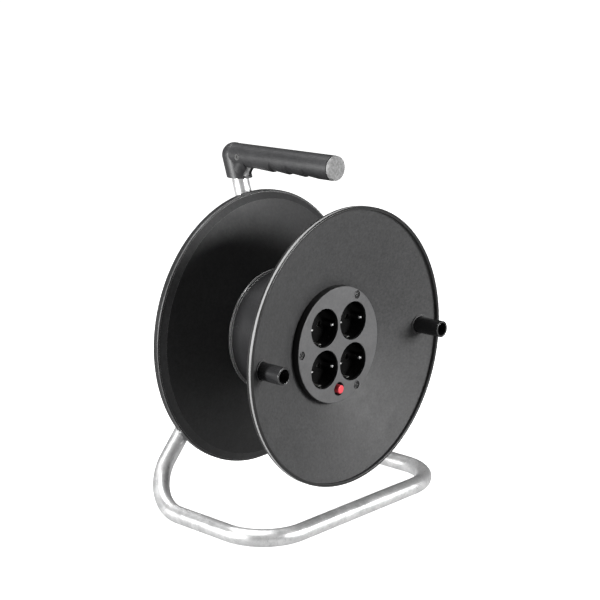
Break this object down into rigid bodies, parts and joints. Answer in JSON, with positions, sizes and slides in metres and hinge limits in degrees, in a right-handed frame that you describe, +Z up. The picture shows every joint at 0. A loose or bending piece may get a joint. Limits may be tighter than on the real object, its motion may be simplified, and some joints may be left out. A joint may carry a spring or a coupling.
{
  "type": "extension cord reel",
  "caption": "Empty extension cord reel: dished flanges on a hollow core, a socket panel with a reset button, crank handles, and a bent tube stand with a handgrip.",
  "frame": {"origin": "on the floor, below the middle of the bounding box", "axes": "+Z up, +Y from the socket side to the stand's back, +X to the right as seen from the socket side; the drum turns about a line parallel to Y at a height of 179 mm"},
  "size_m": [0.298, 0.2006, 0.3743],
  "materials": {
    "galvanised_tube": "galvanised, mottled satin",
    "cast_hub": "die-cast, matt",
    "zinc_steel": "zinc plated",
    "dark_screw": "blackened",
    "nylon": "plain",
    "grip_plastic": "fine grain",
    "cap_plastic": "plain",
    "flange_plastic": "fine grain",
    "core_plastic": "smooth",
    "black_plastic": "smooth",
    "crank_plastic": "satin",
    "plate_plastic": "fine grain",
    "brass": "plain",
    "terminal_plastic": "plain",
    "red_plastic": "moulded"
  },
  "bodies": {
    "frame": {"stand_tube": "galvanised_tube", "handle_tube": "galvanised_tube", "hub_casting": "cast_hub", "frame_screws": "zinc_steel", "axle_pin": "zinc_steel", "axle_retaining_ring": "zinc_steel", "axle_front_washer": "zinc_steel", "thrust_washer": "nylon", "axle_lock_washer": "zinc_steel", "axle_nut": "zinc_steel", "grip": "grip_plastic", "grip_end_cap": "cap_plastic", "grip_screw": "dark_screw"},
    "drum": {"rear_flange": "flange_plastic", "front_flange": "flange_plastic", "drum_core": "core_plastic", "tie_screws": "zinc_steel", "front_bush": "nylon", "rear_bush": "nylon", "cable_gland": "black_plastic", "gland_locknut": "black_plastic", "socket_plate": "plate_plastic", "plate_screws": "dark_screw", "socket_carrier": "black_plastic", "socket_cup_lower_left": "black_plastic", "socket_cup_upper_left": "black_plastic", "socket_cup_lower_right": "black_plastic", "socket_cup_upper_right": "black_plastic", "contact_sleeves": "zinc_steel", "live_busbar": "brass", "neutral_busbar": "brass", "earth_busbar": "zinc_steel", "contact_cover": "black_plastic", "cover_screw": "zinc_steel", "terminal_block": "terminal_plastic", "terminal_screws": "zinc_steel", "thermal_cutout": "black_plastic", "cutout_tabs": "brass", "crank_screws": "dark_screw"},
    "crank_left": {"crank_handle_left": "crank_plastic"},
    "crank_right": {"crank_handle_right": "crank_plastic"},
    "button": {"reset_button": "red_plastic"}
  },
  "joints": [
    {"name": "drum_spin", "type": "hinge", "parent": "frame", "child": "drum", "pos_m": [0, 0, 0.179], "axis": [0, 1, 0], "continuous": true},
    {"name": "crank_left_spin", "type": "hinge", "parent": "drum", "child": "crank_left", "pos_m": [-0.122, -0.08, 0.179], "axis": [0, 1, 0], "continuous": true},
    {"name": "crank_right_spin", "type": "hinge", "parent": "drum", "child": "crank_right", "pos_m": [0.122, -0.08, 0.179], "axis": [0, 1, 0], "continuous": true},
    {"name": "reset_button_press", "type": "slide", "parent": "drum", "child": "button", "axis": [0, 1, 0], "range_m": [0, 0.002], "stiffness_N_per_m": 400, "springref_m": -0.002}
  ]
}
